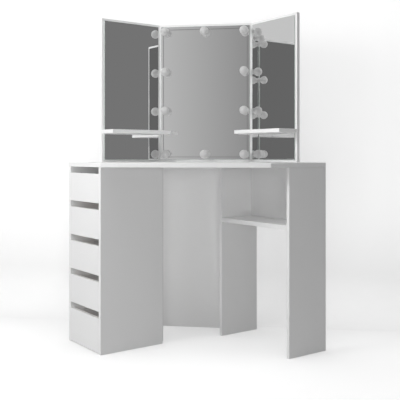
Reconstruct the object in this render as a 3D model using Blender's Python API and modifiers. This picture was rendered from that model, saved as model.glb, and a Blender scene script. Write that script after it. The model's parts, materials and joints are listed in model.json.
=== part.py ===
"""Corner vanity table with a three-wing mirror, five drawers, a side shelf and a ring of globe bulbs.

Frame: +X to the right, +Y towards the room's corner, +Z up, in metres. The origin is on the floor, under
the middle of the model's bounding box. Heights and plan positions are worked out in the desk's own frame,
whose origin is on the floor under the middle of the table's front edge. The desk's two arms lie at 45
degrees, along the two walls, and each has a frame of its own.
"""

import math

import bmesh
import bpy
from mathutils import Matrix

COLLECTION_NAME = "corner_vanity_table"

# Gaps
TOUCH_GAP = 0.0003              # between pieces that touch
DRAWER_GAP = 0.0015             # round a drawer front

# Modelling
WELD_DISTANCE = 0.00001
CUT_OVERRUN = 0.010             # a cutter's length past the surface that it opens
EDGE_SEGMENTS = 2
EDGE_ANGLE = math.radians(20)   # sharper edges than this are rounded
SMOOTH_ANGLE = math.radians(40)
MITRE_ANGLE = math.radians(22.5)

# Table top
TABLE_WIDTH = 1.100
TABLE_DEPTH = 0.538
TABLE_HEIGHT = 0.770
TOP_THICKNESS = 0.018
FRONT_EDGE_LENGTH = 0.678       # the straight edge that the user sits at

# Boards
BOARD_THICKNESS = 0.016
SHEET_THICKNESS = 0.003         # hardboard of the cabinet back and the drawer bottoms
EDGE_RADIUS = 0.0008            # rounding of the edge banding
SHEET_EDGE_RADIUS = 0.0004

# Drawer cabinet, on the left arm
CABINET_REVEAL = 0.003          # from the table's end edge back to the cabinet front
CABINET_WIDTH = 0.292
CABINET_DEPTH = 0.300
CABINET_FLOOR_HEIGHT = 0.010    # underside of the cabinet bottom
DRAWER_COUNT = 5
DRAWER_FRONT_HEIGHT = 0.1184
FINGER_SLOT_HEIGHT = 0.027      # open slot above each drawer front
LOWEST_FRONT_CLEARANCE = 0.004  # the lowest front hides the cabinet bottom

# Drawer box
FRAME_THICKNESS = 0.012
FRAME_HEIGHT = 0.088
FRAME_DEPTH = 0.265
FRAME_SIDE_CLEARANCE = 0.002
FRAME_BELOW_FRONT_TOP = 0.012
BOTTOM_RISE = 0.008             # drawer bottom above the frame's lower edge
BOTTOM_GROOVE_DEPTH = 0.004
BOTTOM_GROOVE_HEIGHT = 0.0038
BOTTOM_PLAY = 0.0005            # between the drawer bottom's edges and its grooves

# Groove runners
RUNNER_HEIGHT = 0.010
RUNNER_IN_GROOVE = 0.006
RUNNER_SETBACK = 0.006          # runner's front end behind the drawer front
RUNNER_LENGTH = 0.240
RUNNER_GROOVE_HEIGHT = 0.011
RUNNER_GROOVE_DEPTH = 0.007

# Centre back panel
BACK_PANEL_WIDTH = 0.434
BACK_PANEL_INSET = 0.003        # from the table's rear edge

# Shelf unit, on the right arm
PANEL_WIDTH = 0.203
PANEL_SPAN = 0.4525             # over both panels, along the wall
SHELF_TOP_HEIGHT = 0.523
SHELF_THICKNESS = 0.018
SHELF_BACK_INSET = 0.018

# Mirror
MIRROR_HEIGHT = 0.640
MIRROR_BOARD_THICKNESS = 0.015
MIRROR_WING_WIDTH = 0.302       # along the front face
MITRE_GAP = 0.0004
GLASS_THICKNESS = 0.003
GLASS_EDGE_RADIUS = 0.0006
GLASS_BORDER_ENDS = 0.010       # above and below the glass
GLASS_BORDER_INNER = 0.0085     # beside a mitre
GLASS_BORDER_OUTER = 0.012      # beside a wing's free end

# Wing shelves
WING_SHELF_TOP = 0.143          # above the table top
WING_SHELF_THICKNESS = 0.016
WING_SHELF_DEPTH = 0.105        # from the wing's board
WING_SHELF_LENGTH = 0.302
WING_SHELF_OVERHANG = 0.003     # past the wing's free end

# Bulbs
BULB_RADIUS = 0.020
BULB_CENTRE_OUT = 0.028         # globe centre, in front of the glass
BULB_BASE_RADIUS = 0.011
BULB_BASE_HEIGHT = 0.010
BULB_STEPS = 20
BULB_ARC_STEPS = 9
BULB_COLUMN = 0.184             # side columns, from the mirror's centre line
BULB_ROWS = (0.035, 0.2365, 0.4175, 0.603)  # above the table top

# Wire and inlet
WIRE_RADIUS = 0.0008
WIRE_OFFSET = 0.013             # outside the ring of bulb centres
WIRE_CORNER_STEPS = 4
INLET_SIZE = (0.060, 0.018, 0.036)
INLET_EDGE_RADIUS = 0.0012
INLET_STUB_RADIUS = 0.0024
INLET_HOLE_RADIUS = 0.0030
INLET_SOCKET_RADIUS = 0.0032
INLET_SOCKET_DEPTH = 0.010

# Mirror joint plates
PLATE_LEAF = 0.030
PLATE_THICKNESS = 0.002
PLATE_EDGE_RADIUS = 0.0003
PLATE_HEIGHT = 0.040
PLATE_LEVELS = {"lower": 0.120, "upper": 0.520}  # plate centre, above the table top

# Derived sizes
HALF_FRONT = FRONT_EDGE_LENGTH / 2
END_CORNER_Y = TABLE_WIDTH / 2 - HALF_FRONT
WALL_LINE = TABLE_WIDTH / 2 + END_CORNER_Y      # |x| + y along both wall edges
HALF_REAR = WALL_LINE - TABLE_DEPTH
WALL_EDGE = (TABLE_WIDTH / 2 - HALF_REAR) * math.sqrt(2)
UNDERSIDE = TABLE_HEIGHT - TOP_THICKNESS
INNER_WIDTH = CABINET_WIDTH - 2 * BOARD_THICKNESS
FRONT_BACK_FACE = CABINET_REVEAL + BOARD_THICKNESS
DRAWER_PITCH = DRAWER_FRONT_HEIGHT + FINGER_SLOT_HEIGHT
MITRE_RUN = MIRROR_BOARD_THICKNESS * math.tan(MITRE_ANGLE)
HALF_MIRROR = HALF_REAR - MITRE_RUN             # centre mirror's front face
GLASS_FRONT = MIRROR_BOARD_THICKNESS + TOUCH_GAP + GLASS_THICKNESS
OVERALL_DEPTH = TABLE_DEPTH + TOUCH_GAP + INLET_SIZE[1]


# ---------------------------------------------------------------- scene helpers

def clear_scene():
    """Empties the scene."""
    for obj in list(bpy.data.objects):
        bpy.data.objects.remove(obj, do_unlink=True)


def new_collection(name):
    """A collection in the scene."""
    collection = bpy.data.collections.new(name)
    bpy.context.scene.collection.children.link(collection)
    return collection


def make_material(name, colour, roughness, metallic=0.0):
    """A Principled material."""
    material = bpy.data.materials.new(name)
    material.use_nodes = True
    shader = material.node_tree.nodes["Principled BSDF"]
    shader.inputs["Base Color"].default_value = (*colour, 1.0)
    shader.inputs["Roughness"].default_value = roughness
    shader.inputs["Metallic"].default_value = metallic
    return material


def add_object(name, data, material, location=(0, 0, 0), rotation_z=0.0, parent=None):
    """An object of the part, under its parent's frame, or the desk's where none is given."""
    obj = bpy.data.objects.new(name, data)
    parts.objects.link(obj)
    obj.location = location
    obj.rotation_euler = (0, 0, rotation_z)
    obj.parent = parent or desk
    if not data.materials:
        data.materials.append(material)
    return obj


def add_empty(name, location, rotation_z=0.0, parent=None):
    """An empty that carries a frame of axes."""
    empty = bpy.data.objects.new(name, None)
    parts.objects.link(empty)
    empty.empty_display_size = 0.05
    empty.location = location
    empty.rotation_euler = (0, 0, rotation_z)
    empty.parent = parent
    return empty


def add_bevel(obj, width=EDGE_RADIUS):
    """Rounds the sharp edges."""
    bevel = obj.modifiers.new("edge_rounding", "BEVEL")
    bevel.width = width
    bevel.segments = EDGE_SEGMENTS
    bevel.limit_method = "ANGLE"
    bevel.angle_limit = EDGE_ANGLE


# ---------------------------------------------------------------- shapes

def box_mesh(name, size):
    """A box centred on its origin."""
    mesh = bpy.data.meshes.new(name)
    bm = bmesh.new()
    bmesh.ops.create_cube(bm, size=1.0, matrix=Matrix.Diagonal((*size, 1.0)))
    bm.to_mesh(mesh)
    bm.free()
    return mesh


def add_board(name, low, high, material, parent=None, bevel=EDGE_RADIUS):
    """A rectangular board between two corners of its parent's frame."""
    size = [b - a for a, b in zip(low, high)]
    centre = [(a + b) / 2 for a, b in zip(low, high)]
    board = add_object(name, box_mesh(name, size), material, centre, parent=parent)
    if bevel:
        add_bevel(board, bevel)
    return board


def add_slab(name, outline, bottom, top, material, parent=None, bevel=EDGE_RADIUS):
    """An upright extrusion of a plan outline."""
    curve = bpy.data.curves.new(name, "CURVE")
    curve.dimensions = "2D"
    curve.fill_mode = "BOTH"
    curve.extrude = (top - bottom) / 2
    spline = curve.splines.new("POLY")
    spline.points.add(len(outline) - 1)
    for point, (x, y) in zip(spline.points, outline):
        point.co = (x, y, 0.0, 1.0)
    spline.use_cyclic_u = True
    slab = add_object(name, curve, material, (0, 0, (bottom + top) / 2), parent=parent)
    weld = slab.modifiers.new("weld_caps", "WELD")
    weld.merge_threshold = WELD_DISTANCE
    if bevel:
        add_bevel(slab, bevel)
    return slab


def as_mesh(obj):
    """Turns an object with its modifiers into a plain mesh object at the same place."""
    evaluated = obj.evaluated_get(bpy.context.evaluated_depsgraph_get())
    mesh = bpy.data.meshes.new_from_object(evaluated)
    bm = bmesh.new()
    bm.from_mesh(mesh)
    bmesh.ops.remove_doubles(bm, verts=bm.verts, dist=WELD_DISTANCE)
    bm.to_mesh(mesh)
    bm.free()
    name = obj.name
    place = obj.matrix_basis.copy()
    parent = obj.parent
    bpy.data.objects.remove(obj, do_unlink=True)
    mesh.name = name
    plain = bpy.data.objects.new(name, mesh)
    parts.objects.link(plain)
    plain.parent = parent
    plain.matrix_basis = place
    return plain


def add_cutter(name, mesh, matrix):
    """A hidden object that cuts or joins others, placed in the desk's frame."""
    cutter = bpy.data.objects.new(name, mesh)
    cutters.objects.link(cutter)
    cutter.parent = desk
    cutter.matrix_basis = matrix
    cutter.hide_render = True
    cutter.display_type = "WIRE"
    return cutter


def cut(obj, cutter):
    """Cuts the cutter's shape out of the object."""
    boolean = obj.modifiers.new("cut_" + cutter.name, "BOOLEAN")
    boolean.operation = "DIFFERENCE"
    boolean.solver = "EXACT"
    boolean.object = cutter


def cylinder_mesh(name, radius, depth, segments=20):
    """A closed cylinder along Z, centred on its origin."""
    mesh = bpy.data.meshes.new(name)
    bm = bmesh.new()
    bmesh.ops.create_cone(
        bm, cap_ends=True, segments=segments, radius1=radius, radius2=radius, depth=depth
    )
    bm.to_mesh(mesh)
    bm.free()
    return mesh


# ---------------------------------------------------------------- desk

def add_table_top():
    """The six-sided top: front edge, two end edges, two wall edges and the cut-off corner."""
    half_width = TABLE_WIDTH / 2
    outline = [
        (-HALF_FRONT, 0.0),
        (HALF_FRONT, 0.0),
        (half_width, END_CORNER_Y),
        (HALF_REAR, TABLE_DEPTH),
        (-HALF_REAR, TABLE_DEPTH),
        (-half_width, END_CORNER_Y),
    ]
    add_slab("table_top", outline, UNDERSIDE, TABLE_HEIGHT, white_board)


def add_cabinet():
    """The drawer cabinet. In the left arm's frame +X runs from the wall to the front, +Y to the corner."""
    top = UNDERSIDE - TOUCH_GAP
    back_start = CABINET_DEPTH - SHEET_THICKNESS
    side_back = back_start - TOUCH_GAP
    inner_start = CABINET_WIDTH - BOARD_THICKNESS
    add_board(
        "cabinet_outer_side",
        (0.0, CABINET_REVEAL, 0.0),
        (BOARD_THICKNESS, side_back, top),
        white_board, left_arm,
    )
    add_board(
        "cabinet_inner_side",
        (inner_start, CABINET_REVEAL, 0.0),
        (CABINET_WIDTH, side_back, top),
        white_board, left_arm,
    )
    add_board(
        "cabinet_bottom",
        (BOARD_THICKNESS + TOUCH_GAP, FRONT_BACK_FACE + DRAWER_GAP, CABINET_FLOOR_HEIGHT),
        (inner_start - TOUCH_GAP, side_back, CABINET_FLOOR_HEIGHT + BOARD_THICKNESS),
        white_board, left_arm,
    )
    add_board(
        "cabinet_back",
        (TOUCH_GAP, back_start, CABINET_FLOOR_HEIGHT),
        (CABINET_WIDTH - TOUCH_GAP, CABINET_DEPTH, top - TOUCH_GAP),
        white_sheet, left_arm, bevel=SHEET_EDGE_RADIUS,
    )


def add_centre_back_panel():
    """The panel across the corner, behind the user's knees."""
    rear = TABLE_DEPTH - BACK_PANEL_INSET
    add_board(
        "centre_back_panel",
        (-BACK_PANEL_WIDTH / 2, rear - BOARD_THICKNESS, 0.0),
        (BACK_PANEL_WIDTH / 2, rear, UNDERSIDE - TOUCH_GAP),
        white_board,
    )


def add_shelf_unit():
    """Two uprights, a shelf and a back above it. In the right arm's frame +X runs to the wall."""
    top = UNDERSIDE - TOUCH_GAP
    panel_starts = {"shelf_outer_side": 0.0, "shelf_inner_side": PANEL_SPAN - BOARD_THICKNESS}
    for name, start in panel_starts.items():
        add_board(
            name,
            (-PANEL_WIDTH, start, 0.0),
            (0.0, start + BOARD_THICKNESS, top),
            white_board, right_arm,
        )
    between = (BOARD_THICKNESS + TOUCH_GAP, PANEL_SPAN - BOARD_THICKNESS - TOUCH_GAP)
    add_board(
        "side_shelf",
        (-PANEL_WIDTH, between[0], SHELF_TOP_HEIGHT - SHELF_THICKNESS),
        (-SHELF_BACK_INSET, between[1], SHELF_TOP_HEIGHT),
        white_board, right_arm,
    )
    add_board(
        "shelf_back_panel",
        (-SHELF_BACK_INSET - BOARD_THICKNESS, between[0], SHELF_TOP_HEIGHT + TOUCH_GAP),
        (-SHELF_BACK_INSET, between[1], top),
        white_board, right_arm,
    )


# ---------------------------------------------------------------- drawers

def front_mesh(name, height):
    """A drawer front, hanging down from its top edge's middle."""
    mesh = box_mesh(name, (INNER_WIDTH - 2 * DRAWER_GAP, BOARD_THICKNESS, height))
    mesh.transform(Matrix.Translation((0, BOARD_THICKNESS / 2, -height / 2)))
    return mesh


def frame_mesh():
    """The folded three-sided frame of a drawer, with a groove for the bottom and one for each runner."""
    half = INNER_WIDTH / 2 - FRAME_SIDE_CLEARANCE
    inner_half = half - FRAME_THICKNESS
    start = BOARD_THICKNESS + TOUCH_GAP
    end = start + FRAME_DEPTH
    inner_end = end - FRAME_THICKNESS
    top = -FRAME_BELOW_FRONT_TOP
    bottom = top - FRAME_HEIGHT
    outline = [
        (-half, start),
        (-inner_half, start),
        (-inner_half, inner_end),
        (inner_half, inner_end),
        (inner_half, start),
        (half, start),
        (half, end),
        (-half, end),
    ]
    frame = as_mesh(add_slab("drawer_frame_pattern", outline, bottom, top, white_frame))

    runner_level = bottom + FRAME_HEIGHT / 2
    groove_length = FRAME_DEPTH + 2 * CUT_OVERRUN
    groove = box_mesh("runner_groove", (2 * RUNNER_GROOVE_DEPTH, groove_length, RUNNER_GROOVE_HEIGHT))
    for side in (-1, 1):
        place = Matrix.Translation((side * half, start + FRAME_DEPTH / 2, runner_level))
        cut(frame, add_cutter("runner_groove_cut", groove, place))

    groove_size = (
        2 * (inner_half + BOTTOM_GROOVE_DEPTH),
        FRAME_DEPTH - FRAME_THICKNESS + BOTTOM_GROOVE_DEPTH + CUT_OVERRUN,
        BOTTOM_GROOVE_HEIGHT,
    )
    groove_end = inner_end + BOTTOM_GROOVE_DEPTH
    groove_level = bottom + BOTTOM_RISE + SHEET_THICKNESS / 2
    place = Matrix.Translation((0, groove_end - groove_size[1] / 2, groove_level))
    cut(frame, add_cutter("bottom_groove_cut", box_mesh("bottom_groove", groove_size), place))

    bpy.context.view_layer.update()
    frame = as_mesh(frame)
    mesh = frame.data
    mesh.transform(frame.matrix_basis)
    bpy.data.objects.remove(frame, do_unlink=True)
    mesh.name = "drawer_frame"
    return mesh


def bottom_mesh():
    """The drawer bottom, whose edges sit in the frame's groove."""
    into_groove = BOTTOM_GROOVE_DEPTH - BOTTOM_PLAY
    half = INNER_WIDTH / 2 - FRAME_SIDE_CLEARANCE - FRAME_THICKNESS + into_groove
    start = BOARD_THICKNESS + 2 * TOUCH_GAP
    end = BOARD_THICKNESS + TOUCH_GAP + FRAME_DEPTH - FRAME_THICKNESS + into_groove
    level = -FRAME_BELOW_FRONT_TOP - FRAME_HEIGHT + BOTTOM_RISE + SHEET_THICKNESS / 2
    mesh = box_mesh("drawer_bottom", (2 * half, end - start, SHEET_THICKNESS))
    mesh.transform(Matrix.Translation((0, (start + end) / 2, level)))
    return mesh


def runner_mesh():
    """A plastic strip on the cabinet's side, centred on its wall face, pointing to +X."""
    width = FRAME_SIDE_CLEARANCE + RUNNER_IN_GROOVE - TOUCH_GAP
    mesh = box_mesh("runner", (width, RUNNER_LENGTH, RUNNER_HEIGHT))
    mesh.transform(Matrix.Translation((TOUCH_GAP + width / 2, RUNNER_LENGTH / 2, 0)))
    return mesh


def add_drawers():
    """Five drawers, counted from the top, with a pair of runners each."""
    shared_front = front_mesh("drawer_front", DRAWER_FRONT_HEIGHT)
    shared_frame = frame_mesh()
    shared_bottom = bottom_mesh()
    shared_runner = runner_mesh()
    middle = CABINET_WIDTH / 2
    runner_drop = FRAME_BELOW_FRONT_TOP + FRAME_HEIGHT / 2
    runner_start = FRONT_BACK_FACE + RUNNER_SETBACK

    for number in range(1, DRAWER_COUNT + 1):
        front_top = UNDERSIDE - DRAWER_PITCH * (number - 1) - FINGER_SLOT_HEIGHT
        front = shared_front
        if number == DRAWER_COUNT:
            front = front_mesh("lowest_drawer_front", front_top - LOWEST_FRONT_CLEARANCE)

        name = f"drawer_{number}"
        slide = add_empty(name + "_slide", (middle, CABINET_REVEAL, front_top), parent=left_arm)
        add_bevel(add_object(name + "_front", front, white_board, parent=slide))
        add_object(name + "_frame", shared_frame, white_frame, parent=slide)
        add_object(name + "_bottom", shared_bottom, white_sheet, parent=slide)

        runner_level = front_top - runner_drop
        outer_place = (BOARD_THICKNESS, runner_start, runner_level)
        add_object(name + "_outer_runner", shared_runner, white_plastic, outer_place, parent=left_arm)
        inner_place = (
            CABINET_WIDTH - BOARD_THICKNESS,
            runner_start + RUNNER_LENGTH,
            runner_level,
        )
        add_object(
            name + "_inner_runner", shared_runner, white_plastic, inner_place, math.pi, left_arm
        )


# ---------------------------------------------------------------- mirror

def add_mirror_boards():
    """Three boards, mitred where they meet."""
    bottom = TABLE_HEIGHT + TOUCH_GAP
    top = TABLE_HEIGHT + MIRROR_HEIGHT
    front = TABLE_DEPTH - MIRROR_BOARD_THICKNESS
    gap = MITRE_GAP / 2
    centre_outline = [
        (-HALF_MIRROR + gap, front),
        (HALF_MIRROR - gap, front),
        (HALF_REAR - gap, TABLE_DEPTH),
        (-HALF_REAR + gap, TABLE_DEPTH),
    ]
    centre = add_slab("mirror_centre_board", centre_outline, bottom, top, white_board)
    centre = as_mesh(centre)

    wing_start = WALL_EDGE - MITRE_RUN - MIRROR_WING_WIDTH
    for name, frame, side in (("left", left_arm, 1), ("right", right_arm, -1)):
        outline = [
            (0.0, wing_start),
            (side * MIRROR_BOARD_THICKNESS, wing_start),
            (side * MIRROR_BOARD_THICKNESS, WALL_EDGE - MITRE_RUN - gap),
            (0.0, WALL_EDGE - gap),
        ]
        if side < 0:
            outline.reverse()
        add_slab(f"mirror_{name}_board", outline, bottom, top, white_board, frame)
    return centre


def add_mirror_glass():
    """A pane on each board."""
    bottom = TABLE_HEIGHT + GLASS_BORDER_ENDS
    top = TABLE_HEIGHT + MIRROR_HEIGHT - GLASS_BORDER_ENDS
    half = HALF_MIRROR - GLASS_BORDER_INNER
    centre = add_board(
        "mirror_centre_glass",
        (-half, TABLE_DEPTH - GLASS_FRONT, bottom),
        (half, TABLE_DEPTH - GLASS_FRONT + GLASS_THICKNESS, top),
        mirror_glass, bevel=GLASS_EDGE_RADIUS,
    )
    end = WALL_EDGE - MITRE_RUN - GLASS_BORDER_INNER
    start = WALL_EDGE - MITRE_RUN - MIRROR_WING_WIDTH + GLASS_BORDER_OUTER
    for name, frame, side in (("left", left_arm, 1), ("right", right_arm, -1)):
        faces = sorted((side * (GLASS_FRONT - GLASS_THICKNESS), side * GLASS_FRONT))
        add_board(
            f"mirror_{name}_glass",
            (faces[0], start, bottom),
            (faces[1], end, top),
            mirror_glass, frame, bevel=GLASS_EDGE_RADIUS,
        )
    return centre


def add_wing_shelves():
    """A small shelf across each wing."""
    top = TABLE_HEIGHT + WING_SHELF_TOP
    near = GLASS_FRONT + TOUCH_GAP
    far = MIRROR_BOARD_THICKNESS + WING_SHELF_DEPTH
    start = WALL_EDGE - MITRE_RUN - MIRROR_WING_WIDTH - WING_SHELF_OVERHANG
    for name, frame, side in (("left", left_arm, 1), ("right", right_arm, -1)):
        faces = sorted((side * near, side * far))
        add_board(
            f"{name}_wing_shelf",
            (faces[0], start, top - WING_SHELF_THICKNESS),
            (faces[1], start + WING_SHELF_LENGTH, top),
            white_board, frame,
        )


def add_joint_plates():
    """Bent steel plates behind the mitres, two on each."""
    rear = TABLE_DEPTH + TOUCH_GAP
    bend = HALF_REAR + TOUCH_GAP * math.tan(MITRE_ANGLE)
    outer_bend = bend + PLATE_THICKNESS * math.tan(MITRE_ANGLE)
    leaf = PLATE_LEAF * math.sqrt(0.5)
    skin = PLATE_THICKNESS * math.sqrt(0.5)
    outline = [
        (bend - PLATE_LEAF, rear),
        (bend, rear),
        (bend + leaf, rear - leaf),
        (bend + leaf + skin, rear - leaf + skin),
        (outer_bend, rear + PLATE_THICKNESS),
        (bend - PLATE_LEAF, rear + PLATE_THICKNESS),
    ]
    for level_name, level in PLATE_LEVELS.items():
        bottom = TABLE_HEIGHT + level - PLATE_HEIGHT / 2
        for side_name, side in (("left", -1), ("right", 1)):
            plan = [(side * x, y) for x, y in outline]
            if side < 0:
                plan.reverse()
            name = f"{side_name}_{level_name}_joint_plate"
            add_slab(
                name, plan, bottom, bottom + PLATE_HEIGHT, zinc_steel, bevel=PLATE_EDGE_RADIUS
            )


# ---------------------------------------------------------------- lights

def bulb_profile():
    """Half the outline of a bulb on its base, from the tip down to the glass, as (radius, height)."""
    neck_angle = math.asin(BULB_BASE_RADIUS / BULB_RADIUS)
    end_angle = math.pi - neck_angle
    globe = []
    for step in range(BULB_ARC_STEPS + 1):
        angle = end_angle * step / BULB_ARC_STEPS
        globe.append((BULB_RADIUS * math.sin(angle), BULB_CENTRE_OUT + BULB_RADIUS * math.cos(angle)))
    return globe + [(BULB_BASE_RADIUS, 0.0), (0.0, 0.0)]


def bulb_mesh():
    """A turned bulb that stands on its origin and points to -Y."""
    profile = bulb_profile()
    mesh = bpy.data.meshes.new("bulb_profile")
    edges = [(i, i + 1) for i in range(len(profile) - 1)]
    mesh.from_pydata([(radius, 0.0, height) for radius, height in profile], edges, [])
    pattern = add_object("bulb_pattern", mesh, bulb_glass)
    screw = pattern.modifiers.new("turn", "SCREW")
    screw.steps = BULB_STEPS
    screw.render_steps = BULB_STEPS
    screw.use_merge_vertices = True
    screw.merge_threshold = WELD_DISTANCE
    bpy.context.view_layer.update()
    turned = as_mesh(pattern)
    mesh = turned.data
    bpy.data.objects.remove(turned, do_unlink=True)
    mesh.transform(Matrix.Rotation(math.pi / 2, 4, "X"))
    mesh.name = "bulb"
    mesh.shade_smooth()
    mesh.set_sharp_from_angle(angle=SMOOTH_ANGLE)
    return mesh


def bulb_places():
    """(x, height above the table top) of each bulb: three in the end rows, two in the others."""
    places = []
    for row, height in enumerate(reversed(BULB_ROWS)):
        is_end_row = row in (0, len(BULB_ROWS) - 1)
        columns = (-BULB_COLUMN, 0.0, BULB_COLUMN) if is_end_row else (-BULB_COLUMN, BULB_COLUMN)
        for x in columns:
            places.append((x, height))
    return places


def add_bulbs():
    """The ring of bulbs on the centre mirror."""
    shared = bulb_mesh()
    back = TABLE_DEPTH - GLASS_FRONT - TOUCH_GAP
    for number, (x, height) in enumerate(bulb_places(), start=1):
        add_object(f"bulb_{number:02d}", shared, bulb_glass, (x, back, TABLE_HEIGHT + height))


def wire_route():
    """A rectangle with round corners, just outside the bulb bases, in the glass plane."""
    half = BULB_COLUMN + WIRE_OFFSET
    low = TABLE_HEIGHT + BULB_ROWS[0] - WIRE_OFFSET
    high = TABLE_HEIGHT + BULB_ROWS[-1] + WIRE_OFFSET
    corners = [
        (half, high, 0.0),
        (-half, high, math.pi / 2),
        (-half, low, math.pi),
        (half, low, 1.5 * math.pi),
    ]
    route = []
    for x, z, start in corners:
        centre_x = x - math.copysign(WIRE_OFFSET, x)
        centre_z = z - math.copysign(WIRE_OFFSET, z - (low + high) / 2)
        for step in range(WIRE_CORNER_STEPS + 1):
            angle = start + math.pi / 2 * step / WIRE_CORNER_STEPS
            point_x = centre_x + WIRE_OFFSET * math.cos(angle)
            point_z = centre_z + WIRE_OFFSET * math.sin(angle)
            route.append((point_x, point_z))
    return route


def add_wire():
    """The wire that joins the bulbs, in one closed ring on the glass."""
    curve = bpy.data.curves.new("led_wire", "CURVE")
    curve.dimensions = "3D"
    curve.bevel_depth = WIRE_RADIUS
    curve.bevel_resolution = 2
    curve.use_fill_caps = True
    route = wire_route()
    spline = curve.splines.new("POLY")
    spline.points.add(len(route) - 1)
    y = TABLE_DEPTH - GLASS_FRONT - TOUCH_GAP - WIRE_RADIUS
    for point, (x, z) in zip(spline.points, route):
        point.co = (x, y, z, 1.0)
    spline.use_cyclic_u = True
    add_object("led_wire", curve, grey_wire)


def add_inlet(centre_board, centre_glass):
    """The power inlet behind the lowest middle bulb, whose stub passes through board and glass."""
    level = TABLE_HEIGHT + BULB_ROWS[0]
    lying = Matrix.Rotation(math.pi / 2, 4, "X")
    hole_length = 2 * (GLASS_FRONT + CUT_OVERRUN)
    hole = cylinder_mesh("wire_hole", INLET_HOLE_RADIUS, hole_length)
    hole_cut = add_cutter("wire_hole_cut", hole, Matrix.Translation((0, TABLE_DEPTH, level)) @ lying)
    cut(centre_board, hole_cut)
    cut(centre_glass, hole_cut)

    rear = TABLE_DEPTH + TOUCH_GAP
    box_centre = rear + INLET_SIZE[1] / 2
    low = (-INLET_SIZE[0] / 2, rear, level - INLET_SIZE[2] / 2)
    high = (INLET_SIZE[0] / 2, rear + INLET_SIZE[1], level + INLET_SIZE[2] / 2)
    box = add_board("inlet_box", low, high, white_plastic, bevel=INLET_EDGE_RADIUS)

    stub_front = TABLE_DEPTH - GLASS_FRONT
    stub_length = box_centre - stub_front
    stub_mesh = cylinder_mesh("inlet_stub", INLET_STUB_RADIUS, stub_length)
    stub_place = Matrix.Translation((0, stub_front + stub_length / 2, level)) @ lying
    stub = add_cutter("inlet_stub_join", stub_mesh, stub_place)
    join = box.modifiers.new("join_stub", "BOOLEAN")
    join.operation = "UNION"
    join.solver = "EXACT"
    join.object = stub

    socket = cylinder_mesh("inlet_socket", INLET_SOCKET_RADIUS, 2 * INLET_SOCKET_DEPTH)
    sideways = Matrix.Rotation(math.pi / 2, 4, "Y")
    socket_place = Matrix.Translation((INLET_SIZE[0] / 2, box_centre, level)) @ sideways
    cut(box, add_cutter("inlet_socket_cut", socket, socket_place))


# ---------------------------------------------------------------- build

clear_scene()
parts = new_collection(COLLECTION_NAME)
cutters = new_collection("cutters")

white_board = make_material("white_board", (0.86, 0.86, 0.86), 0.42)
white_sheet = make_material("white_sheet", (0.82, 0.82, 0.81), 0.55)
white_frame = make_material("white_frame", (0.84, 0.84, 0.83), 0.50)
white_plastic = make_material("white_plastic", (0.80, 0.80, 0.80), 0.40)
mirror_glass = make_material("mirror_glass", (0.80, 0.81, 0.82), 0.03, metallic=1.0)
bulb_glass = make_material("bulb_glass", (0.88, 0.88, 0.87), 0.35)
grey_wire = make_material("grey_wire", (0.45, 0.45, 0.45), 0.50)
zinc_steel = make_material("zinc_steel", (0.62, 0.63, 0.65), 0.35, metallic=1.0)

desk = add_empty("desk", (0, -OVERALL_DEPTH / 2, 0))
left_arm = add_empty("left_arm", (-TABLE_WIDTH / 2, END_CORNER_Y, 0), math.radians(-45), desk)
right_arm = add_empty("right_arm", (TABLE_WIDTH / 2, END_CORNER_Y, 0), math.radians(45), desk)

add_table_top()
add_cabinet()
add_centre_back_panel()
add_shelf_unit()
add_drawers()
mirror_board = add_mirror_boards()
mirror_pane = add_mirror_glass()
add_wing_shelves()
add_joint_plates()
add_bulbs()
add_wire()
add_inlet(mirror_board, mirror_pane)
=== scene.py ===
"""The looks of the corner vanity table: materials, small visible details, camera, stage and light.

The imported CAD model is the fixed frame. Every place below comes from its nodes and its record, in metres.
"""

import json
import math

import bmesh
import bpy
from mathutils import Matrix, Vector

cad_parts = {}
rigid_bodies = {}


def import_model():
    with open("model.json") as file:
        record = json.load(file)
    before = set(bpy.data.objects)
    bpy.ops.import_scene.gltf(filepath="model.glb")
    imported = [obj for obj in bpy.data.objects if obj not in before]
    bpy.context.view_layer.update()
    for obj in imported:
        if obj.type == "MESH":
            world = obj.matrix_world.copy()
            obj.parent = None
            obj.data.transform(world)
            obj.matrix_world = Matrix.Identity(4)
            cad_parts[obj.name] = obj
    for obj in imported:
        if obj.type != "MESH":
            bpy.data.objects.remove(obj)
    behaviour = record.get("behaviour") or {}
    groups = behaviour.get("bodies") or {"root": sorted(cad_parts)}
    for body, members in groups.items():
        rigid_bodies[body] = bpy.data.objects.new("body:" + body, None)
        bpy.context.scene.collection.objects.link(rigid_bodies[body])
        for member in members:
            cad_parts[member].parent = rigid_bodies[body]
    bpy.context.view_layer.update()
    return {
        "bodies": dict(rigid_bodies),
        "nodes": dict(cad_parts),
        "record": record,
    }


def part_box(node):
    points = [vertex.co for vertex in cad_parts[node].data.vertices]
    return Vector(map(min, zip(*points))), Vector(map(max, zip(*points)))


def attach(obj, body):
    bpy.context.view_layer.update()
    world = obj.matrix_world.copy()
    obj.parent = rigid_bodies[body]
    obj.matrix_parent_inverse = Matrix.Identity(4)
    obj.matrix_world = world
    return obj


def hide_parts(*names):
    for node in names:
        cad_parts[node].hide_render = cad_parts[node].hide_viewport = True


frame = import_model()

NODES = frame["nodes"]
SLOT_OF = {part["node"]: part["material_slot"] for part in frame["record"]["subparts"]}

# Camera
CAMERA_PLACE = (0.5091, -2.9664, 0.8016)
CAMERA_YAW = math.radians(8.5345)
CAMERA_LENS = 62.87
CAMERA_SHIFT = (-0.0273, -0.1128)
CAMERA_NEAR = 0.05

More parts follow.
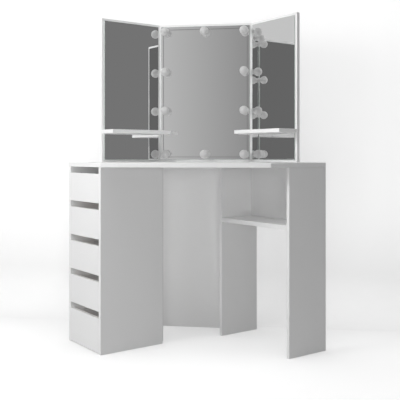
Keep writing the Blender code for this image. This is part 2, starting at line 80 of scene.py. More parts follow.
# Stage
FLOOR_REACH = 7.0               # from the middle to each side, for the floor and the backdrop
WALL_HEIGHT = 4.5
WALL_BEHIND = 0.26              # from the centre mirror's back to the backdrop
SWEEP_RADIUS = 0.22
SWEEP_STEPS = 12
PAPER_LIFT = 0.0005             # of the backdrop's foot, over the floor
FLOOR_TONE = 0.45
FLOOR_GLOW = 0.68
WALL_TONE = 0.45
WALL_GLOW = 0.68
PAPER_ROUGHNESS = 0.9
PAPER_SPECULAR = 0.1
PAINTED_SHADE_REACH = 0.6             # how near things darken the glow with painted shade
PAINTED_SHADE_DEPTH = 0.45               # share of the glow that is left in the deepest painted shade

# Light
# Area lights: place, aim, diameter in metres, power in watts, and whether they cast shadows
LIGHTS = {
    "key_light": ((-1.2, -1.2, 1.6), (-0.3, 0.0, 0.6), 0.9, 17.5, True),
    "top_light": ((0.0, -0.6, 3.2), (0.0, 0.0, 0.5), 1.8, 22.0, True),
    "front_fill": ((0.75, -4.0, 0.7), (0.0, 0.0, 0.6), 1.5, 34.0, True),
    "rear_fill": ((0.8, 3.6, 0.6), (0.0, 0.0, 0.6), 1.5, 58.0, False),
}
PALE_BACKGROUND = 0.92
# Surrounding tones from the left (-1) to the right (+1), by the X of the direction
LIT_BY = ((-1.0, 2.6), (-0.7, 0.05), (0.1, 0.05), (0.45, 0.40), (1.0, 0.05))
MIRRORED = (
    (-1.0, 0.62), (-0.35, 0.75), (-0.22, 0.54), (-0.10, 0.32), (0.02, 0.17), (0.30, 0.15), (1.0, 0.20),
)
THIRD_MIRROR_TONE = 0.5         # share of the mirrored tones that is left after three mirrors
THIRD_MIRROR_DEPTHS = (3.0, 4.0)    # ray depths between which that share is reached

# Colours
BOARD_WHITE = 0.86
BAND_WHITE = 0.88
MIRROR_TONE = 0.87
PAINTED_GLOBE_GLOW = 0.14               # painted glow: lifts the globes' shaded sides, for light the mirrors throw on them and that scatters in a hollow globe

# Local axes of the table and of its two arms, which lie along the walls. On the left arm X points away
# from the wall, on the right arm X points to it, and on both Y points to the corner.
STRAIGHT = Matrix.Identity(3)
ARMS = {
    "left": Matrix.Rotation(math.radians(-45.0), 3, "Z"),
    "right": Matrix.Rotation(math.radians(45.0), 3, "Z"),
}

# Finishes and shading
BROAD_SIDE = 0.99               # how closely a broad side's faces follow its direction, as a cosine
ROUNDED_OVER = math.radians(40.0)   # edges sharper than this are rounded
SHARP_OVER = math.radians(32.0)     # edges sharper than this are shaded sharp
FRAME_ROUNDING = (0.0007, 2)    # radius and segments
RUNNER_ROUNDING = (0.0014, 3)

# Small metalwork: radius and height of the head, then span, width and depth of its cross recess
SCREW = (0.0034, 0.0016, 0.0040, 0.0010, 0.0010)
CAM = (0.0075, 0.0004, 0.0072, 0.0015, 0.0020)
NAIL = (0.0021, 0.0006, 0.0, 0.0, 0.0)
HEAD_DOME = ((0.0, 1.0), (0.55, 0.94), (0.84, 0.70), (1.0, 0.20))   # shares of radius and height
HEAD_SEGMENTS = 28
HEAD_SUNK = 0.0003              # how far a head's rim lies in the surface under it
CAM_TO_EDGE = 0.034             # from a cam to the board's edge that it pulls on
CAM_INSET = 0.05                # from a board's other edges to the cams beside them
SHELF_CAM_INSET = 0.04
CENTRE_CAM_INSET = 0.07
DRAWER_CAM_RISE = 0.008         # of a drawer's cams, over the middle of its frame
NAIL_TO_EDGE = 0.008
NAIL_ROWS = 7
PLATE_SCREW_TO_END = 0.009
PLATE_SCREW_SPREAD = 0.011      # above and below a joint plate's middle
WING_SCREW_TO_END = 0.045       # from a wing shelf's end to the screw behind it
DRAWER_FRAME_THICKNESS = 0.012

# Bulbs
GLOBE_STEPS = 26
TURN_SEGMENTS = 48
GLOBE_NECK = 0.0106
NECK_IN_SOCKET = 0.002
BULB_ROWS = 4
SOCKET_HEIGHT = 0.0112
SOCKET_FOOT = ((0.0119, 0.0), (0.0121, 0.0012), (0.0116, 0.0020))   # its radii and heights
FOOT_HEIGHT = 0.0026
COLLAR_RADIUS = GLOBE_NECK + 0.0012
COLLAR_FOOT = SOCKET_HEIGHT - 0.0032
# Points of the collar's outside: how far each lies inside its radius and below its top
COLLAR_RIM = ((0.0003, 0.0027), (0.0, 0.0020), (0.0, 0.0004), (0.0004, 0.0))
SOCKET_BORE = GLOBE_NECK - 0.0008
BORE_FLOOR = SOCKET_HEIGHT - 0.0016
CLIP_SIZE = (0.0062, 0.0070, 0.0034)
CLIP_ROUNDING = 0.0007
CLIP_OUT = 0.0124               # clip centre, from the bulb's axis

# Power inlet
LID_MARGIN = 0.0022
LID_THICKNESS = 0.0012
LID_ROUNDING = 0.0008
LID_SCREW_INSET = 0.0065
LINER_RADIUS = 0.0031
LINER_BORE = 0.0025
LINER_DEPTH = 0.0085
LINER_FLOOR = 0.0008
LINER_SEGMENTS = 32
FLANGE_WIDTH = 0.0009
FLANGE_HEIGHTS = (0.0004, 0.0005)   # at its outside and at the bore
PIN_RADIUS = 0.0006
PIN_SHOULDER = -0.0016          # from the socket's mouth, as is the tip
PIN_TIP = -0.0012


# ---------------------------------------------------------------- material helpers

class Shader:
    """A material with a Principled shader, and short calls that add nodes to it."""

    def __init__(self, name):
        self.material = bpy.data.materials.new(name)
        self.material.use_nodes = True
        self.tree = self.material.node_tree
        self.principled = self.tree.nodes["Principled BSDF"]
        self.coordinates = self.tree.nodes.new("ShaderNodeTexCoord").outputs["Object"]

    def set(self, **values):
        """Sets constant values on the shader's own sockets."""
        for name, value in values.items():
            self.principled.inputs[name.replace("_", " ")].default_value = value

    def link(self, output, socket):
        """Links a node's output to one of the shader's own sockets."""
        self.tree.links.new(output, self.principled.inputs[socket])

    def stretched(self, scale):
        """Object coordinates, scaled along each axis."""
        mapping = self.tree.nodes.new("ShaderNodeMapping")
        mapping.inputs["Scale"].default_value = scale
        self.tree.links.new(self.coordinates, mapping.inputs["Vector"])
        return mapping.outputs["Vector"]

    def noise(self, scale, detail=2.0, vector=None):
        """Soft noise from 0 to 1."""
        texture = self.tree.nodes.new("ShaderNodeTexNoise")
        texture.inputs["Scale"].default_value = scale
        texture.inputs["Detail"].default_value = detail
        self.tree.links.new(vector or self.coordinates, texture.inputs["Vector"])
        return texture.outputs["Fac"]

    def cells(self, scale):
        """Rounded cells, as the distance from their middles."""
        texture = self.tree.nodes.new("ShaderNodeTexVoronoi")
        texture.inputs["Scale"].default_value = scale
        self.tree.links.new(self.coordinates, texture.inputs["Vector"])
        return texture.outputs["Distance"]

    def roughness(self, value, low, high):
        """Links a 0 to 1 value to the roughness, as a range."""
        node = self.tree.nodes.new("ShaderNodeMapRange")
        node.inputs["To Min"].default_value = low
        node.inputs["To Max"].default_value = high
        self.tree.links.new(value, node.inputs["Value"])
        self.link(node.outputs["Result"], "Roughness")

    def colour(self, value, low, high):
        """Links a 0 to 1 value to the base colour, between two colours."""
        node = self.tree.nodes.new("ShaderNodeValToRGB")
        node.color_ramp.elements[0].color = (*low, 1.0)
        node.color_ramp.elements[1].color = (*high, 1.0)
        self.tree.links.new(value, node.inputs["Fac"])
        self.link(node.outputs["Color"], "Base Color")

    def bump(self, height, strength, distance):
        """Links a 0 to 1 height to the shader's normal."""
        node = self.tree.nodes.new("ShaderNodeBump")
        node.inputs["Strength"].default_value = strength
        node.inputs["Distance"].default_value = distance
        self.tree.links.new(height, node.inputs["Height"])
        self.link(node.outputs["Normal"], "Normal")


def grey(tone, warmth=0.0):
    """A grey, a little warmer where warmth is above 0."""
    return (tone + warmth, tone, tone - warmth)


def near_tone(tone, spread, warmth=0.0):
    """Two greys, a little under and over a tone."""
    return grey(tone - spread, warmth), grey(tone + spread, warmth)


# ---------------------------------------------------------------- materials

def melamine():
    """White melamine: a fine pebble grain, with a sheen that varies a little."""
    s = Shader("white_melamine")
    s.colour(s.noise(scale=3.0), *near_tone(BOARD_WHITE, spread=0.006))
    s.roughness(s.noise(scale=9.0, detail=3.0), low=0.36, high=0.48)
    s.bump(s.cells(scale=900.0), strength=0.10, distance=0.00004)
    return s.material


def edge_band():
    """Plastic edge banding, a little brighter and smoother than the board's faces."""
    s = Shader("edge_band")
    s.colour(s.noise(scale=6.0), *near_tone(BAND_WHITE, spread=0.005))
    s.roughness(s.noise(scale=25.0, detail=3.0), low=0.30, high=0.42)
    s.bump(s.noise(scale=500.0), strength=0.08, distance=0.00004)
    return s.material


def wrapped_foil():
    """The white foil round a drawer frame, with faint lines along its length."""
    s = Shader("wrapped_foil")
    s.colour(s.noise(scale=5.0), grey(0.755), grey(0.775))
    s.roughness(s.noise(scale=12.0, detail=3.0), low=0.42, high=0.56)
    lines = s.noise(scale=60.0, detail=2.0, vector=s.stretched((1.0, 1.0, 18.0)))
    s.bump(lines, strength=0.12, distance=0.00005)
    return s.material


def lacquered_sheet():
    """The white side of hardboard, with the pressed fibres just showing."""
    s = Shader("lacquered_sheet")
    s.colour(s.noise(scale=14.0, detail=4.0), grey(0.735, warmth=0.002), grey(0.765, warmth=0.002))
    s.roughness(s.noise(scale=30.0, detail=4.0), low=0.45, high=0.62)
    s.bump(s.noise(scale=350.0, detail=6.0), strength=0.2, distance=0.00006)
    return s.material


def raw_sheet():
    """The bare side of hardboard: pressed brown fibres."""
    s = Shader("raw_hardboard")
    fibres = s.noise(scale=260.0, detail=8.0, vector=s.stretched((1.0, 1.0, 0.35)))
    s.colour(fibres, (0.30, 0.205, 0.13), (0.47, 0.35, 0.235))
    s.roughness(s.noise(scale=40.0, detail=4.0), low=0.70, high=0.88)
    s.bump(fibres, strength=0.4, distance=0.0001)
    return s.material


def silvered_glass():
    """The mirror's face: polished, with a barely uneven silvering."""
    s = Shader("silvered_glass")
    s.set(Metallic=1.0)
    s.colour(s.noise(scale=2.5), *near_tone(MIRROR_TONE, spread=0.004, warmth=-0.001))
    s.roughness(s.noise(scale=7.0), low=0.0, high=0.012)
    return s.material


def glass_edge():
    """The ground edge of the panes, grey-green."""
    s = Shader("ground_glass_edge")
    s.colour(s.noise(scale=120.0), (0.42, 0.49, 0.46), (0.52, 0.58, 0.55))
    s.roughness(s.noise(scale=300.0, detail=3.0), low=0.18, high=0.34)
    s.set(Coat_Weight=0.4)
    return s.material


def opal():
    """The bulbs' opal diffuser: milky, with a soft gloss and a weak painted glow that lifts their shaded
    sides, while the bulbs still look unlit.
    """
    s = Shader("opal_diffuser")
    s.colour(s.noise(scale=60.0, detail=3.0), grey(0.42), grey(0.45))
    s.roughness(s.noise(scale=90.0), low=0.28, high=0.38)
    s.set(Subsurface_Weight=1.0, Subsurface_Scale=0.03, Subsurface_Radius=(1.0, 1.0, 1.0))
    # Painted glow on the unlit globes, lifting their shaded sides; the base colour above is darker to make
    # up for it.
    s.set(Emission_Color=(1.0, 1.0, 1.0, 1.0), Emission_Strength=PAINTED_GLOBE_GLOW)
    return s.material


def moulded_plastic():
    """White moulded plastic with a spark-eroded grain."""
    s = Shader("moulded_plastic")
    s.colour(s.noise(scale=40.0), grey(0.72), grey(0.74))
    s.roughness(s.noise(scale=200.0, detail=3.0), low=0.36, high=0.50)
    s.bump(s.noise(scale=1400.0), strength=0.25, distance=0.00004)
    return s.material


def insulated_wire():
    """The grey insulation of the wire."""
    s = Shader("wire_insulation")
    s.colour(s.noise(scale=150.0), grey(0.10), grey(0.14))
    s.roughness(s.noise(scale=400.0), low=0.40, high=0.55)
    return s.material


def zinc_steel():
    """Zinc-plated steel, brushed along its length."""
    s = Shader("zinc_steel")
    s.set(Metallic=1.0)
    brushed = s.noise(scale=220.0, detail=3.0, vector=s.stretched((1.0, 1.0, 14.0)))
    s.colour(brushed, (0.50, 0.51, 0.53), (0.68, 0.69, 0.71))
    s.roughness(brushed, low=0.26, high=0.44)
    s.bump(brushed, strength=0.15, distance=0.00005)
    return s.material


MATERIALS = {
    "face": melamine(),
    "band": edge_band(),
    "foil": wrapped_foil(),
    "sheet": lacquered_sheet(),
    "raw": raw_sheet(),
    "silver": silvered_glass(),
    "glass_edge": glass_edge(),
    "opal": opal(),
    "plastic": moulded_plastic(),
    "wire": insulated_wire(),
    "steel": zinc_steel(),
}


# ---------------------------------------------------------------- finishes of the CAD nodes

def broad_direction(mesh):
    """The normal that most of a board's surface has, either way round."""
    areas = {}
    for face in mesh.polygons:
        normal = face.normal
        if max(normal, key=abs) < 0:
            normal = -normal
        key = tuple(round(value, 2) for value in normal)
        areas[key] = areas.get(key, 0.0) + face.area
    return Vector(max(areas, key=areas.get)).normalized()


def finish_faces(node, front, back, edge):
    """Gives a board one material on each broad side and one on its edges."""
    mesh = NODES[node].data
    mesh.materials.clear()
    for key in (front, back, edge):
        mesh.materials.append(MATERIALS[key])
    broad = broad_direction(mesh)
    for face in mesh.polygons:
        along = face.normal.dot(broad)
        face.material_index = 0 if along < -BROAD_SIDE else 1 if along > BROAD_SIDE else 2


def finish_whole(node, key):
    """One material all over a node."""
    mesh = NODES[node].data
    mesh.materials.clear()
    mesh.materials.append(MATERIALS[key])


def finish_nodes():
    """A finish on each CAD node, by its slot in the record."""
    whole = {"drawer_frame": "foil", "white_plastic": "plastic", "bulb": "opal",
             "wire": "wire", "steel_plate": "steel"}
    for node, slot in SLOT_OF.items():
        if slot == "white_board":
            finish_faces(node, "face", "face", "band")
        elif slot == "mirror_glass":
            finish_faces(node, "silver", "silver", "glass_edge")
        elif node == "cabinet_back":
            finish_whole(node, "sheet")
        elif slot == "hardboard":
            finish_faces(node, "raw", "sheet", "raw")
        else:
            finish_whole(node, whole[slot])


def round_edges(node, width, segments):
    """Rounds the sharp edges of a CAD node that has none rounded."""
    bevel = NODES[node].modifiers.new("edge_rounding", "BEVEL")
    bevel.width = width
    bevel.segments = segments
    bevel.limit_method = "ANGLE"
    bevel.angle_limit = ROUNDED_OVER


def round_drawer_parts():
    """Soft edges on the drawer frames and the runners."""
    for node, slot in SLOT_OF.items():
        if slot == "drawer_frame":
            round_edges(node, *FRAME_ROUNDING)
        elif node.endswith("_runner"):
            round_edges(node, *RUNNER_ROUNDING)


# ---------------------------------------------------------------- piece helpers

def reach(node, axes):
    """A node's lowest and highest corner along local axes."""
    back = axes.transposed()
    places = [back @ vertex.co for vertex in NODES[node].data.vertices]
    low = Vector(min(place[axis] for place in places) for axis in range(3))
    high = Vector(max(place[axis] for place in places) for axis in range(3))
    return low, high


def standing(axes, point, normal):
    """A place at a local point, whose Z axis points along a local normal."""
    turn = (axes @ Vector(normal)).to_track_quat("Z", "Y")
    return Matrix.Translation(axes @ Vector(point)) @ turn.to_matrix().to_4x4()


def turn_profile(bm, profile, place, segments=TURN_SEGMENTS):
    """Adds a turned shape from (radius, height) points that start and end on the axis."""
    rings = []
    for radius, height in profile:
        steps = segments if radius else 1
        angles = [math.tau * step / steps for step in range(steps)]
        rings.append([
            bm.verts.new(place @ Vector((radius * math.cos(a), radius * math.sin(a), height)))
            for a in angles
        ])
    for near, far in zip(rings, rings[1:]):
        for step in range(segments):
            around = (step, (step + 1) % segments)
            corners = [near[i % len(near)] for i in around] + [far[i % len(far)] for i in reversed(around)]
            bm.faces.new(list(dict.fromkeys(corners)))


def add_block(bm, size, place, bevel):
    """Adds a box with rounded edges, centred on its place."""
    corners = bmesh.ops.create_cube(bm, size=1.0, matrix=place @ Matrix.Diagonal((*size, 1.0)))["verts"]
    edges = list({edge for corner in corners for edge in corner.link_edges})
    bmesh.ops.bevel(bm, geom=edges, offset=bevel, segments=3, affect="EDGES", profile=0.5)


def add_cross(bm, span, width, low, high, place):
    """Adds an upright cross-shaped prism between two heights."""
    arm = [(span / 2, -width / 2), (span / 2, width / 2), (width / 2, width / 2)]
    outline = []
    for quarter in range(4):
        spin = Matrix.Rotation(math.pi / 2 * quarter, 2)
        outline += [spin @ Vector(point) for point in arm]
    floors = [[bm.verts.new(place @ Vector((*point, level))) for point in outline] for level in (low, high)]
    bm.faces.new(floors[0])
    bm.faces.new(floors[1])
    for step in range(len(outline)):
        after = (step + 1) % len(outline)
        bm.faces.new((floors[0][step], floors[0][after], floors[1][after], floors[1][step]))


def as_object(name, bm):
    """Turns built geometry into an object with its faces pointing out."""
    bmesh.ops.recalc_face_normals(bm, faces=bm.faces)
    mesh = bpy.data.meshes.new(name)
    bm.to_mesh(mesh)
    bm.free()
    obj = bpy.data.objects.new(name, mesh)
    bpy.context.scene.collection.objects.link(obj)
    return obj


def carve(obj, cutters):
    """Cuts built geometry out of an object, and keeps the result as its mesh."""
    cutter = as_object(obj.name + "_cutter", cutters)
    boolean = obj.modifiers.new("carve", "BOOLEAN")
    boolean.operation = "DIFFERENCE"
    boolean.solver = "EXACT"
    boolean.object = cutter
    evaluated = obj.evaluated_get(bpy.context.evaluated_depsgraph_get())
    carved = bpy.data.meshes.new_from_object(evaluated)
    obj.modifiers.clear()
    obj.data = carved
    bpy.data.objects.remove(cutter, do_unlink=True)


def finish_piece(piece, body, key):
    """Material, shading and body of a new piece."""
    piece.data.materials.clear()
    piece.data.materials.append(MATERIALS[key])
    piece.data.shade_smooth()
    piece.data.set_sharp_from_angle(angle=SHARP_OVER)
    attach(piece, body)
    return piece


# ---------------------------------------------------------------- screws, cams and nails

def add_heads(name, kind, places, body):
    """Heads of one kind of fastener, in one piece."""
    radius, height, span, width, depth = kind
    profile = [(radius * across, height * up) for across, up in HEAD_DOME]
    profile += [(radius, -HEAD_SUNK), (0.0, -HEAD_SUNK)]
    heads = bmesh.new()
    for place in places:
        turn_profile(heads, profile, place, HEAD_SEGMENTS)
    piece = as_object(name, heads)
    if span:
        recesses = bmesh.new()
        for place in places:
            add_cross(recesses, span, width, height - depth, height + depth, place)
        carve(piece, recesses)
    finish_piece(piece, body, "steel")


def add_plate_screws():
    """Four screws in each joint plate, two on each leaf."""
    for side, axes in ARMS.items():
        toward_wall = (-1, 0, 0) if side == "left" else (1, 0, 0)
        for level in ("lower", "upper"):
            plate = f"{side}_{level}_joint_plate"
            low, high = reach(plate, STRAIGHT)
            middle = (low.z + high.z) / 2
            centre_end = high.x - PLATE_SCREW_TO_END if side == "left" else low.x + PLATE_SCREW_TO_END
            wing_low, wing_high = reach(plate, axes)
            outer = wing_low.x if side == "left" else wing_high.x
            wing_end = wing_low.y + PLATE_SCREW_TO_END
            places = []
            for height in (middle - PLATE_SCREW_SPREAD, middle + PLATE_SCREW_SPREAD):
                places.append(standing(STRAIGHT, (centre_end, high.y, height), (0, 1, 0)))
                places.append(standing(axes, (outer, wing_end, height), toward_wall))
            add_heads(f"{side}_{level}_plate_screws", SCREW, places, "desk")


def add_wing_screws():
    """Three screws behind each wing, into the edge of its shelf."""
    for side, axes in ARMS.items():
        board_low, board_high = reach(f"mirror_{side}_board", axes)
        shelf_low, shelf_high = reach(f"{side}_wing_shelf", axes)
        rear, normal = (board_low.x, (-1, 0, 0)) if side == "left" else (board_high.x, (1, 0, 0))
        height = (shelf_low.z + shelf_high.z) / 2
        near = shelf_low.y + WING_SCREW_TO_END
        far = shelf_high.y - WING_SCREW_TO_END
        places = [standing(axes, (rear, y, height), normal) for y in (near, (near + far) / 2, far)]
        add_heads(f"{side}_wing_shelf_screws", SCREW, places, "desk")


def add_back_nails():
    """Small nails round the edge of the cabinet's hardboard back."""
    axes = ARMS["left"]
    low, high = reach("cabinet_back", axes)
    sides = (low.x + NAIL_TO_EDGE, high.x - NAIL_TO_EDGE)
    bottom, top = low.z + NAIL_TO_EDGE, high.z - NAIL_TO_EDGE
    levels = [bottom + (top - bottom) * row / (NAIL_ROWS - 1) for row in range(NAIL_ROWS)]
    points = [(x, z) for x in sides for z in levels]
    points += [((sides[0] + sides[1]) / 2, z) for z in (bottom, top)]
    places = [standing(axes, (x, high.y, z), (0, 1, 0)) for x, z in points]
    add_heads("cabinet_back_nails", NAIL, places, "desk")


def cam_row(node, axes, axis, normal, level, inset=CAM_INSET):
    """Two cam places near the ends of a board's broad side, along one of its axes."""
    low, high = reach(node, axes)
    places = []
    for along in (low[axis] + inset, high[axis] - inset):
        point = [high[i] if normal[i] > 0 else low[i] for i in range(3)]
        point[axis] = along
        point[2] = level
        places.append(standing(axes, point, normal))
    return places


def add_board_cams():
    """Cam locks near the tops of three uprights and two back boards, on the sides turned from the front."""
    right = ARMS["right"]
    top = reach("shelf_outer_side", right)[1].z - CAM_TO_EDGE
    rows = {
        "shelf_outer_side_cams": cam_row("shelf_outer_side", right, 0, (0, 1, 0), top, SHELF_CAM_INSET),
        "shelf_inner_side_cams": cam_row("shelf_inner_side", right, 0, (0, 1, 0), top, SHELF_CAM_INSET),
        "shelf_back_panel_cams": cam_row("shelf_back_panel", right, 1, (1, 0, 0), top),
        "centre_back_panel_cams": cam_row(
            "centre_back_panel", STRAIGHT, 0, (0, 1, 0), top, CENTRE_CAM_INSET),
        "cabinet_outer_side_cams": cam_row("cabinet_outer_side", ARMS["left"], 1, (1, 0, 0), top),
    }
    for name, places in rows.items():
        add_heads(name, CAM, places, "desk")


def add_shelf_cams():
    """Cam locks under the side shelf, two at each end."""
    axes = ARMS["right"]
    low, high = reach("side_shelf", axes)
    places = []
    for x in (low.x + SHELF_CAM_INSET, high.x - SHELF_CAM_INSET):
        for y in (low.y + CAM_TO_EDGE, high.y - CAM_TO_EDGE):
            places.append(standing(axes, (x, y, low.z), (0, 0, -1)))
    add_heads("side_shelf_cams", CAM, places, "desk")


def add_drawer_cams():
    """A cam lock inside each side of each drawer, near its front."""
    axes = ARMS["left"]
    for body in frame["bodies"]:
        if not body.startswith("drawer_"):
            continue
        low, high = reach(f"{body}_frame", axes)
        y = low.y + CAM_TO_EDGE
        z = (low.z + high.z) / 2 + DRAWER_CAM_RISE
        places = [
            standing(axes, (low.x + DRAWER_FRAME_THICKNESS, y, z), (1, 0, 0)),
            standing(axes, (high.x - DRAWER_FRAME_THICKNESS, y, z), (-1, 0, 0)),
        ]
        add_heads(f"{body}_cams", CAM, places, body)


# ---------------------------------------------------------------- bulbs and power inlet

def bulb_place(node):
    """Where a bulb stands on the glass, with Z pointing out of it, and its radius and globe height."""
    low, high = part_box(node)
    radius = (high.x - low.x) / 2
    foot = Vector(((low.x + high.x) / 2, high.y, (low.z + high.z) / 2))
    return standing(STRAIGHT, foot, (0, -1, 0)), foot, radius, high.y - low.y - radius


def wire_side(foot):
    """The direction from a bulb's foot to the wire that passes it."""
    low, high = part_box("led_wire")
    across = 0.0 if abs(foot.x) < high.x / 2 else math.copysign(1.0, foot.x)
    nearest = min(foot.z - low.z, high.z - foot.z)
    is_end_row = nearest < (high.z - low.z) / (2 * (BULB_ROWS - 1))
    upward = math.copysign(1.0, foot.z - (low.z + high.z) / 2) if is_end_row else 0.0
    return Vector((across, 0.0, upward)).normalized()


def add_globe(node):
    """The opal globe, with a short neck that sits in its socket."""
    place, _, radius, centre = bulb_place(node)
    neck_angle = math.pi - math.asin(GLOBE_NECK / radius)
    profile = []
    for step in range(GLOBE_STEPS + 1):
        angle = neck_angle * step / GLOBE_STEPS
        profile.append((radius * math.sin(angle), centre + radius * math.cos(angle)))
    foot = SOCKET_HEIGHT - NECK_IN_SOCKET
    profile += [(GLOBE_NECK, foot), (0.0, foot)]
    bm = bmesh.new()
    turn_profile(bm, profile, place)
    globe = finish_piece(as_object(node + "_globe", bm), "desk", "opal")
    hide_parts(node)


def add_socket(node):
    """The socket: a stuck-on foot, a collar round the globe's neck, and a clip over the wire."""
    place, foot, _, _ = bulb_place(node)
    profile = [(0.0, 0.0), *SOCKET_FOOT, (GLOBE_NECK, FOOT_HEIGHT), (GLOBE_NECK, COLLAR_FOOT)]
    profile += [(COLLAR_RADIUS - inside, SOCKET_HEIGHT - below) for inside, below in COLLAR_RIM]
    profile += [(SOCKET_BORE, SOCKET_HEIGHT), (SOCKET_BORE, BORE_FLOOR), (0.0, BORE_FLOOR)]
    bm = bmesh.new()
    turn_profile(bm, profile, place)
    outward = wire_side(foot)
    centre = foot + outward * CLIP_OUT + Vector((0.0, -CLIP_SIZE[2] / 2, 0.0))
    tilt = math.atan2(outward.z, outward.x)
    lying = Matrix.Rotation(-tilt, 4, "Y") @ Matrix.Rotation(math.pi / 2, 4, "X")
    add_block(bm, CLIP_SIZE, Matrix.Translation(centre) @ lying, CLIP_ROUNDING)
    finish_piece(as_object(node + "_socket", bm), "desk", "plastic")


def add_bulbs():
    """A globe and a socket for each bulb."""
    for node, slot in SLOT_OF.items():
        if slot == "bulb":
            add_globe(node)
            add_socket(node)


def add_inlet_lid(low, high, middle):
    """The inlet box's lid and its two screws."""
    size = (high.x - low.x - 2 * LID_MARGIN, high.z - low.z - 2 * LID_MARGIN, 2 * LID_THICKNESS)
    lid = bmesh.new()
    add_block(lid, size, standing(STRAIGHT, (middle.x, high.y, middle.z), (0, 1, 0)), LID_ROUNDING)
    finish_piece(as_object("inlet_lid", lid), "desk", "plastic")

    reach_x = (high.x - low.x) / 2 - LID_SCREW_INSET
    reach_z = (high.z - low.z) / 2 - LID_SCREW_INSET
    corners = ((-reach_x, reach_z), (reach_x, -reach_z))
    face = high.y + LID_THICKNESS
    places = [standing(STRAIGHT, (middle.x + x, face, middle.z + z), (0, 1, 0)) for x, z in corners]
    add_heads("inlet_lid_screws", SCREW, places, "desk")


def add_inlet_liner(high, middle):
    """The metal liner and the pin in the inlet box's socket."""
    board_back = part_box("mirror_centre_board")[1].y
    socket_y = (board_back + high.y) / 2
    mouth = standing(STRAIGHT, (high.x, socket_y, middle.z), (1, 0, 0))
    liner = bmesh.new()
    turn_profile(liner, [
        (0.0, -LINER_DEPTH - LINER_FLOOR),
        (LINER_RADIUS, -LINER_DEPTH - LINER_FLOOR),
        (LINER_RADIUS, 0.0),
        (LINER_RADIUS + FLANGE_WIDTH, 0.0),
        (LINER_RADIUS + FLANGE_WIDTH, FLANGE_HEIGHTS[0]),
        (LINER_BORE, FLANGE_HEIGHTS[1]),
        (LINER_BORE, -LINER_DEPTH),
        (PIN_RADIUS, -LINER_DEPTH),
        (PIN_RADIUS, PIN_SHOULDER),
        (0.0, PIN_TIP),
    ], mouth, LINER_SEGMENTS)
    finish_piece(as_object("inlet_socket_liner", liner), "desk", "steel")


def add_inlet_details():
    """The lid, the screws and the socket's metal parts on the inlet box."""
    low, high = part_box("inlet_box")
    middle = (low + high) / 2
    add_inlet_lid(low, high, middle)
    add_inlet_liner(high, middle)


# ---------------------------------------------------------------- stage, light and camera

def stage_material(name, tone, glow):
    """A matt surface that looks paler than the light it throws back, and shows from its front only.

    Its glow is seen by the camera and in the mirrors, and lights nothing by itself. Near other things the
    glow is darkened by ambient occlusion, as painted shade.
    """
    material = bpy.data.materials.new(name)
    material.use_nodes = True
    nodes, links = material.node_tree.nodes, material.node_tree.links
    shader = nodes["Principled BSDF"]
    shader.inputs["Base Color"].default_value = (*grey(tone), 1.0)
    shader.inputs["Roughness"].default_value = PAPER_ROUGHNESS
    shader.inputs["Specular IOR Level"].default_value = PAPER_SPECULAR
    shader.inputs["Emission Color"].default_value = (1.0, 1.0, 1.0, 1.0)
    path = nodes.new("ShaderNodeLightPath")
    seen = nodes.new("ShaderNodeMath")
    seen.operation = "MAXIMUM"
    lift = nodes.new("ShaderNodeMath")
    lift.operation = "MULTIPLY"
    # Painted shade: ambient occlusion darkens the glow near other things.
    near = nodes.new("ShaderNodeAmbientOcclusion")
    near.inputs["Distance"].default_value = PAINTED_SHADE_REACH
    painted_shade = nodes.new("ShaderNodeMapRange")
    painted_shade.inputs["To Min"].default_value = glow * PAINTED_SHADE_DEPTH
    painted_shade.inputs["To Max"].default_value = glow
    links.new(near.outputs["AO"], painted_shade.inputs["Value"])
    links.new(path.outputs["Is Camera Ray"], seen.inputs[0])
    links.new(path.outputs["Is Glossy Ray"], seen.inputs[1])
    links.new(seen.outputs[0], lift.inputs[0])
    links.new(painted_shade.outputs["Result"], lift.inputs[1])
    links.new(lift.outputs[0], shader.inputs["Emission Strength"])
    clear = nodes.new("ShaderNodeBsdfTransparent")
    side = nodes.new("ShaderNodeNewGeometry")
    mix = nodes.new("ShaderNodeMixShader")
    links.new(side.outputs["Backfacing"], mix.inputs[0])
    links.new(shader.outputs[0], mix.inputs[1])
    links.new(clear.outputs[0], mix.inputs[2])
    links.new(mix.outputs[0], nodes["Material Output"].inputs["Surface"])
    return material


def add_paper(name, profile, tone, glow):
    """A wide strip of paper along a profile of (y, z) points."""
    bm = bmesh.new()
    rows = []
    for y, z in profile:
        rows.append([bm.verts.new((x, y, z)) for x in (-FLOOR_REACH, FLOOR_REACH)])
    for (a, b), (c, d) in zip(rows, rows[1:]):
        bm.faces.new((a, b, d, c))
    mesh = bpy.data.meshes.new(name)
    bm.to_mesh(mesh)
    bm.free()
    mesh.shade_smooth()
    mesh.materials.append(stage_material(name, tone, glow))
    paper = bpy.data.objects.new(name, mesh)
    bpy.context.scene.collection.objects.link(paper)
    return paper


def add_stage():
    """A floor, and a backdrop behind the table whose foot curves into it."""
    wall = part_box("mirror_centre_board")[1].y + WALL_BEHIND
    curve_start = wall - SWEEP_RADIUS
    rise = []
    for step in range(SWEEP_STEPS + 1):
        angle = math.pi / 2 * step / SWEEP_STEPS
        rise.append((
            curve_start + SWEEP_RADIUS * math.sin(angle),
            PAPER_LIFT + SWEEP_RADIUS * (1 - math.cos(angle)),
        ))
    add_paper("studio_floor", [(-FLOOR_REACH, 0.0), (FLOOR_REACH, 0.0)], FLOOR_TONE, FLOOR_GLOW)
    backdrop = add_paper("studio_backdrop", rise + [(wall, WALL_HEIGHT)], WALL_TONE, WALL_GLOW)
    backdrop.visible_glossy = False


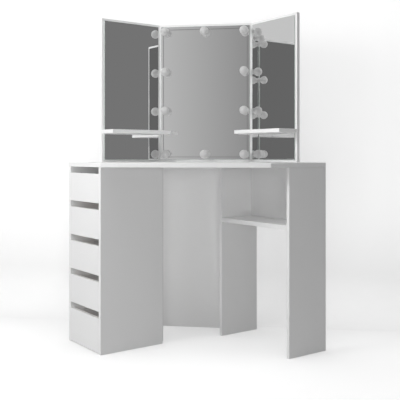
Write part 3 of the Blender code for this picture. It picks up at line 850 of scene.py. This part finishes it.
def add_surround(tree, across, name, tones):
    """A background shader whose tone changes from left to right."""
    strongest = max(tone for _, tone in tones)
    ramp = tree.nodes.new("ShaderNodeValToRGB")
    elements = ramp.color_ramp.elements
    while len(elements) < len(tones):
        elements.new(0.5)
    for element, (place, tone) in zip(elements, tones):
        element.position = (place + 1.0) / 2.0
        element.color = (*grey(tone / strongest), 1.0)
    shader = tree.nodes.new("ShaderNodeBackground")
    shader.name = name
    shader.inputs["Strength"].default_value = strongest
    tree.links.new(across, ramp.inputs["Fac"])
    tree.links.new(ramp.outputs["Color"], shader.inputs["Color"])
    return shader


def add_world():
    """Soft light from the sides, a darker room for the mirrors, and a pale background for the camera."""
    world = bpy.data.worlds.new("studio")
    bpy.context.scene.world = world
    world.use_nodes = True
    tree = world.node_tree
    coordinates = tree.nodes.new("ShaderNodeTexCoord")
    split = tree.nodes.new("ShaderNodeSeparateXYZ")
    across = tree.nodes.new("ShaderNodeMapRange")
    across.inputs["From Min"].default_value = -1.0
    tree.links.new(coordinates.outputs["Generated"], split.inputs[0])
    tree.links.new(split.outputs["X"], across.inputs["Value"])
    lit = add_surround(tree, across.outputs["Result"], "lit_by", LIT_BY)
    mirrored = add_surround(tree, across.outputs["Result"], "mirrored", MIRRORED)
    pale = tree.nodes["Background"]
    pale.inputs["Color"].default_value = (*grey(PALE_BACKGROUND), 1.0)
    path = tree.nodes.new("ShaderNodeLightPath")
    deeper = tree.nodes.new("ShaderNodeMapRange")
    deeper.inputs["From Min"].default_value = THIRD_MIRROR_DEPTHS[0]
    deeper.inputs["From Max"].default_value = THIRD_MIRROR_DEPTHS[1]
    strength = mirrored.inputs["Strength"].default_value
    deeper.inputs["To Min"].default_value = strength
    deeper.inputs["To Max"].default_value = strength * THIRD_MIRROR_TONE
    tree.links.new(path.outputs["Ray Depth"], deeper.inputs["Value"])
    tree.links.new(deeper.outputs["Result"], mirrored.inputs["Strength"])
    for_gloss = tree.nodes.new("ShaderNodeMixShader")
    tree.links.new(path.outputs["Is Glossy Ray"], for_gloss.inputs[0])
    tree.links.new(lit.outputs[0], for_gloss.inputs[1])
    tree.links.new(mirrored.outputs[0], for_gloss.inputs[2])
    for_camera = tree.nodes.new("ShaderNodeMixShader")
    tree.links.new(path.outputs["Is Camera Ray"], for_camera.inputs[0])
    tree.links.new(for_gloss.outputs[0], for_camera.inputs[1])
    tree.links.new(pale.outputs[0], for_camera.inputs[2])
    tree.links.new(for_camera.outputs[0], tree.nodes["World Output"].inputs["Surface"])


def add_lights():
    """Large soft lights, which the mirrors don't show."""
    for name, (place, aim, size, power, shadow) in LIGHTS.items():
        data = bpy.data.lights.new(name, "AREA")
        data.shape = "DISK"
        data.size = size
        data.energy = power
        data.use_shadow = shadow
        light = bpy.data.objects.new(name, data)
        light.location = place
        direction = Vector(aim) - Vector(place)
        light.rotation_euler = direction.to_track_quat("-Z", "Y").to_euler()
        light.visible_glossy = False
        bpy.context.scene.collection.objects.link(light)


def add_camera():
    """A level camera at sitting height, a little to the right, looking slightly left."""
    data = bpy.data.cameras.new("camera")
    data.lens = CAMERA_LENS
    data.shift_x, data.shift_y = CAMERA_SHIFT
    data.clip_start = CAMERA_NEAR
    camera = bpy.data.objects.new("camera", data)
    camera.location = CAMERA_PLACE
    camera.rotation_euler = (math.pi / 2, 0.0, CAMERA_YAW)
    bpy.context.scene.collection.objects.link(camera)
    bpy.context.scene.camera = camera
    bpy.context.scene.view_settings.view_transform = "Standard"


# ---------------------------------------------------------------- build

finish_nodes()
round_drawer_parts()
add_bulbs()
add_inlet_details()
add_plate_screws()
add_wing_screws()
add_back_nails()
add_board_cams()
add_shelf_cams()
add_drawer_cams()
add_stage()
add_world()
add_lights()
add_camera()
